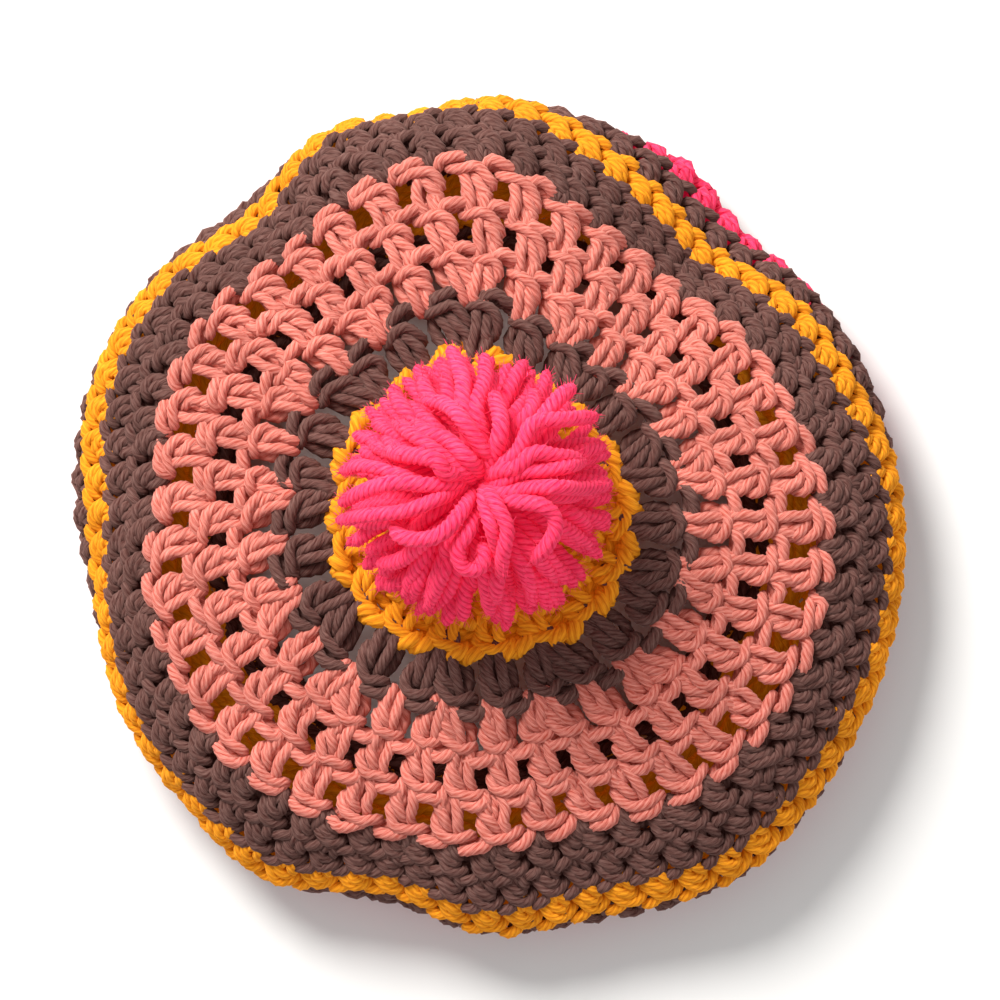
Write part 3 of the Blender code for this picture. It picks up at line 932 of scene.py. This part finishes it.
# The strands on top. Each row is one strand: the directions in degrees in which its root, its middle and
# its cut end lie from the tie, how far out the end reaches in millimetres, and the heights of its middle
# and its end as shares of the pompom's height
POMPOM_PETALS = (
    # root_turn, middle_turn, end_turn, end_out, middle_height, end_height
    (47, 45, 46, 44, 0.90, 0.70),
    (38, 43, 29, 41, 0.94, 0.70),
    (20, 15, 17, 43, 0.74, 0.60),
    (30, 27, 13, 35, 0.99, 0.82),
    (-4, 10, 9, 37, 0.98, 0.78),
    (-12, -3, -1, 44, 0.91, 0.66),
    (-20, -11, -9, 36, 0.88, 0.70),
    (-20, -19, -21, 43, 0.72, 0.55),
    (-30, -28, -33, 39, 0.74, 0.50),
    (-45, -50, -49, 43, 0.72, 0.52),
    (-62, -62, -67, 43, 0.74, 0.52),
    (-55, -58, -78, 29, 0.99, 0.80),
    (-86, -70, -83, 28, 0.96, 0.78),
    (-74, -72, -82, 39, 0.80, 0.58),
    (-90, -92, -96, 43, 0.74, 0.54),
    (-104, -105, -109, 43, 0.72, 0.52),
    (-116, -120, -124, 44, 0.74, 0.52),
    (-110, -113, -120, 35, 0.84, 0.64),
    (-118, -131, -141, 44, 0.86, 0.60),
    (-140, -146, -147, 38, 0.88, 0.66),
    (-158, -158, -164, 46, 0.95, 0.66),
    (-175, -178, -172, 43, 0.99, 0.68),
    (181, 174, 175, 42, 0.88, 0.62),
    (167, 160, 163, 33, 0.99, 0.74),
    (164, 152, 155, 38, 0.84, 0.60),
    (152, 147, 146, 37, 0.95, 0.70),
    (140, 139, 135, 43, 0.74, 0.60),
    (114, 127, 141, 32, 0.99, 0.78),
    (75, 108, 124, 33, 0.97, 0.76),
    (100, 116, 120, 41, 0.76, 0.58),
    (92, 98, 101, 41, 0.82, 0.62),
    (84, 89, 91, 40, 0.80, 0.60),
    (62, 68, 80, 31, 0.96, 0.82),
    (55, 57, 58, 33, 0.78, 0.64),
)

# Three strands curl back on themselves. Each row is a place along one: its direction from the tie in
# degrees, how far out it lies in millimetres, and its height as a share of the pompom's height
POMPOM_CURLS = (
    (
        # turn, out, height
        (-38, 5, 0.84),
        (-28, 13, 0.95),
        (-21, 20, 0.98),
        (-24, 25, 0.95),
        (-33, 28, 0.93),
        (-45, 29, 0.90),
        (-57, 30, 0.84),
    ),
    (
        # turn, out, height
        (-120, 3, 0.82),
        (-121, 11, 0.95),
        (-126, 20, 0.98),
        (-136, 26, 0.95),
        (-146, 30, 0.90),
        (-153, 29, 0.82),
        (-156, 25, 0.74),
    ),
    (
        # turn, out, height
        (-97, 9, 0.86),
        (-103, 16, 0.93),
        (-108, 22, 0.92),
        (-101, 27, 0.88),
        (-91, 27, 0.87),
        (-86, 23, 0.89),
        (-91, 19, 0.88),
    ),
)

# The layers under them. Each row is a layer of strands: how many, how far out its ends reach, how high
# they lie and how high the strands' highest stretch and their roots are, as shares of the pompom's size
POMPOM_LAYERS = (
    # count, end_out, end_height, middle_height, root_height
    (24, 0.90, 0.50, 0.74, 0.63),
    (20, 0.78, 0.38, 0.64, 0.58),
    (28, 0.99, 0.42, 0.60, 0.54),
    (30, 1.00, 0.27, 0.42, 0.40),
    (28, 0.98, 0.11, 0.22, 0.26),
)

# The layers' strands draw together into tufts: how many there are, and by how many degrees at most
TUFT_COUNT = 11
TUFT_PULL = 4.0

# How unevenly the strands are cut and how much they differ by chance. Reach and trim are shares of the
# tabled way out, and rise, top and sag are shares of the pompom's height. The stray is in metres, and the
# thickness is a share of the yarn's
PETAL_REACH = 1.03
PETAL_TRIM = 0.10
PETAL_RISE = 0.02
PETAL_TOP = 0.97
PETAL_SAG = 0.03
PETAL_STRAY = 0.0010
PETAL_THICKNESS = (0.86, 1.12)
LAYER_REACH = 1.01
LAYER_TRIM = 0.07
LAYER_RISE = 0.02
LAYER_THICKNESS = (0.80, 1.12)
LAYER_STAGGER = 0.37  # of the strands' pitch, from layer to layer
LAYER_TURN = 3.0  # degrees
LAYER_SWAY = 9.0  # degrees

tie = Vector((pompom_middle.x + TIE_X, pompom_middle.y + TIE_Y, 0.0))
chance = np.random.default_rng(60)


def round_about(centre, turn, out, height):
    """Points by their direction from a centre in degrees, distance in metres and height as a share."""
    turn = np.radians(turn)
    height = pompom_low.z + pompom_height * np.asarray(height)
    return np.stack((centre.x + out * np.cos(turn), centre.y + out * np.sin(turn), height), axis=-1)


def pompom_yarn(points, fine, radius=POMPOM_YARN_RADIUS):
    """A strand of the pompom's thicker yarn, worked finer where it lies on top."""
    step = POMPOM_STEP if fine else POMPOM_PLAIN_STEP
    ends = (POMPOM_END_SHARE, POMPOM_END_BLUNTNESS)
    return spun(points, chance, radius, fine, POMPOM_PLIES, POMPOM_PLY_TURN, step, *ends)


strands = []
root_turn, middle_turn, end_turn, end_out, middle_height, end_height = np.array(POMPOM_PETALS, float).T
end_out = end_out / 1000 * (PETAL_REACH - np.abs(chance.normal(0.0, PETAL_TRIM, len(end_out))))
uneven = chance.normal(0.0, PETAL_RISE, len(end_out))
middle_height = np.minimum(middle_height + uneven, PETAL_TOP)
end_height = end_height - PETAL_SAG + uneven
rows = (
    # share of the way out, turn, height
    (0.05, root_turn, middle_height - 0.16),
    (0.18, root_turn, middle_height - 0.06),
    (0.36, (root_turn + middle_turn) / 2, middle_height - 0.01),
    (0.58, middle_turn, middle_height),
    (0.82, (middle_turn + end_turn) / 2, (middle_height + end_height) / 2 + 0.03),
    (1.00, end_turn, end_height),
)
petals = np.stack([round_about(tie, turn, end_out * share, height) for share, turn, height in rows], axis=1)
petals += chance.normal(0.0, PETAL_STRAY, petals.shape)
for petal in petals:
    strands.append(pompom_yarn(petal[None], True, POMPOM_YARN_RADIUS * chance.uniform(*PETAL_THICKNESS)))
for curl in POMPOM_CURLS:
    turn, out, height = np.array(curl, float).T
    strands.append(pompom_yarn(round_about(tie, turn, out / 1000, height)[None], True))
for layer, (count, end_out, end_height, middle_height, root_height) in enumerate(POMPOM_LAYERS):
    turn = even_round(count, LAYER_STAGGER * layer) + chance.normal(0.0, LAYER_TURN, count)
    turn += TUFT_PULL * np.sin(np.radians(TUFT_COUNT * turn))
    sway = chance.normal(0.0, LAYER_SWAY, count)
    reach = pompom_reach * end_out * (LAYER_REACH - np.abs(chance.normal(0.0, LAYER_TRIM, count)))
    rows = (
        # share of the way out, share of the sway, height
        (0.06, 0.0, root_height - 0.08),
        (0.20, 0.1, root_height),
        (0.45, 0.4, middle_height),
        (0.68, 0.6, middle_height - 0.01),
        (0.86, 0.8, (middle_height + end_height) / 2),
        (1.00, 1.0, end_height),
    )
    lift = chance.normal(0.0, LAYER_RISE, count)
    places = [
        round_about(pompom_middle, turn + sway * sway_share, reach * share, height + lift * share)
        for share, sway_share, height in rows
    ]
    for line in np.stack(places, axis=1):
        strands.append(pompom_yarn(line[None], False, POMPOM_YARN_RADIUS * chance.uniform(*LAYER_THICKNESS)))

# Loose hairs stand off the pompom's strands all over, and more of them fray out of the cut ends. They are
# three-sided and taper to their tips. Forward is how far they lean along their strand, as a share of how
# far they stand out from it
HAIR_COUNT = 3800
HAIR_RADIUS = 0.00012
HAIR_TAPER = (1.0, 0.5)
HAIR_SIDES = 3
HAIR_LENGTH = 0.0026
HAIR_LENGTH_CHANCE = (0.5, 1.3)
HAIR_ROOT_DEPTH = 0.12
HAIR_FORWARD = 0.4
HAIR_FORWARD_CHANCE = 0.6
HAIR_AIM_CHANCE = 0.35
HAIR_TILT = 0.3
HAIR_PATTERN = (0.0, 0.25)
FRAY_COUNT = 3800
FRAY_SHARE = 0.16
FRAY_FORWARD = 1.4


def loose_hairs(strands, count, chance, end_share=1.0, forward=HAIR_FORWARD):
    """Short hairs that leave the strands' surface at chance places over a share of their end."""
    share = np.array([strand["ring"].shape[0] * strand["ring"].shape[1] for strand in strands], float)
    counts = chance.multinomial(count, share / share.sum())
    roots, outs, alongs = [], [], []
    for strand, number in zip(strands, counts):
        ring = strand["ring"]
        lines = chance.integers(0, ring.shape[0], number)
        last = ring.shape[1] - 1
        at = chance.integers(max(round(last * (1 - end_share)), 1), last, number)
        side = chance.integers(0, ring.shape[2], number)
        middle = ring[lines, at].mean(axis=1)
        root = ring[lines, at, side]
        out = root - middle
        outs.append(out / np.linalg.norm(out, axis=1, keepdims=True))
        roots.append(root - HAIR_ROOT_DEPTH * out)
        along = ring[lines, at + 1].mean(axis=1) - middle
        alongs.append(along / np.linalg.norm(along, axis=1, keepdims=True))
    roots, outs, alongs = (np.concatenate(part) for part in (roots, outs, alongs))
    one_each = (len(roots), 1)
    length = HAIR_LENGTH * chance.uniform(*HAIR_LENGTH_CHANCE, one_each)
    aim = outs + alongs * chance.normal(forward, HAIR_FORWARD_CHANCE, one_each)
    aim += chance.normal(0.0, HAIR_AIM_CHANCE, outs.shape)
    aim /= np.linalg.norm(aim, axis=1, keepdims=True)
    points = np.stack((roots, roots + aim * length), axis=1)
    beside = np.cross(aim, alongs + HAIR_TILT)
    beside /= np.linalg.norm(beside, axis=1, keepdims=True)
    over = np.cross(aim, beside)
    angle = 2 * np.pi * np.arange(HAIR_SIDES) / HAIR_SIDES
    thick = HAIR_RADIUS * np.array(HAIR_TAPER)
    rim = np.cos(angle)[:, None] * beside[:, None] + np.sin(angle)[:, None] * over[:, None]
    ring = points[:, :, None] + thick[None, :, None, None] * rim[:, None]
    return {
        "ring": ring,
        "crest": np.ones(ring.shape[:3]),
        "around": np.arange(HAIR_SIDES) / HAIR_SIDES,
        "along": np.array(HAIR_PATTERN) + chance.uniform(0.0, PATTERN_TURNS, one_each),
    }


hairs = loose_hairs(strands, HAIR_COUNT, chance)
frayed = loose_hairs(strands, FRAY_COUNT, chance, FRAY_SHARE, FRAY_FORWARD)
yarn_piece("pompom_strands", "pompom", strands + [hairs, frayed], bright_finish)


# A plain pale floor under soft studio light, and a camera that looks straight down as the photograph does.
# At VIEW_LEVEL above the floor the camera's scale is the photograph's own.
FLOOR_SIZE = 6.0
FLOOR_COLOUR = (0.74, 0.74, 0.73, 1.0)
FLOOR_ROUGHNESS = 0.8
LIGHT_AIM = Vector((0.0, 0.0, 0.03))
SURROUND_COLOUR = (1.0, 1.0, 1.0, 1.0)
SURROUND_STRENGTH = 0.62
PIXELS_PER_METRE = 3085.0
FRAME_PIXELS = 1000.0
HAT_MIDDLE_PIXEL = (488.5, 516.5)
CAMERA_HEIGHT = 2.0
VIEW_LEVEL = 0.03
SENSOR_WIDTH = 36.0  # millimetres

mesh = bpy.data.meshes.new("floor")
half = FLOOR_SIZE / 2
floor_corners = [(-half, -half, 0), (half, -half, 0), (half, half, 0), (-half, half, 0)]
mesh.from_pydata(floor_corners, [], [(0, 1, 2, 3)])
floor = bpy.data.objects.new("floor", mesh)
bpy.context.scene.collection.objects.link(floor)
paper = bpy.data.materials.new("pale_floor")
paper.use_nodes = True
paper_shader = paper.node_tree.nodes["Principled BSDF"]
paper_shader.inputs["Base Color"].default_value = FLOOR_COLOUR
paper_shader.inputs["Roughness"].default_value = FLOOR_ROUGHNESS
mesh.materials.append(paper)


def soft_light(name, place, size, power, colour):
    """A round area light that looks at the hat."""
    light = bpy.data.lights.new(name, "AREA")
    light.shape = "DISK"
    light.size = size
    light.energy = power
    light.color = colour
    lamp = bpy.data.objects.new(name, light)
    lamp.location = place
    lamp.rotation_euler = (LIGHT_AIM - Vector(place)).to_track_quat("-Z", "Y").to_euler()
    bpy.context.scene.collection.objects.link(lamp)


soft_light("key_light", place=(-0.85, 1.25, 1.35), size=1.0, power=76.0, colour=(1.0, 0.97, 0.94))
soft_light("fill_light", place=(1.2, -0.9, 1.3), size=1.4, power=4.0, colour=(0.95, 0.97, 1.0))
world = bpy.data.worlds.new("studio")
world.use_nodes = True
surround = world.node_tree.nodes["Background"]
surround.inputs["Color"].default_value = SURROUND_COLOUR
surround.inputs["Strength"].default_value = SURROUND_STRENGTH
bpy.context.scene.world = world
bpy.context.scene.view_settings.view_transform = "Standard"

camera_data = bpy.data.cameras.new("camera")
camera_data.sensor_width = SENSOR_WIDTH
frame_width = FRAME_PIXELS / PIXELS_PER_METRE
camera_data.lens = SENSOR_WIDTH * (CAMERA_HEIGHT - VIEW_LEVEL) / frame_width
camera = bpy.data.objects.new("camera", camera_data)
camera.location = (
    (FRAME_PIXELS / 2 - HAT_MIDDLE_PIXEL[0]) / PIXELS_PER_METRE,
    (HAT_MIDDLE_PIXEL[1] - FRAME_PIXELS / 2) / PIXELS_PER_METRE,
    CAMERA_HEIGHT,
)
bpy.context.scene.collection.objects.link(camera)
bpy.context.scene.camera = camera
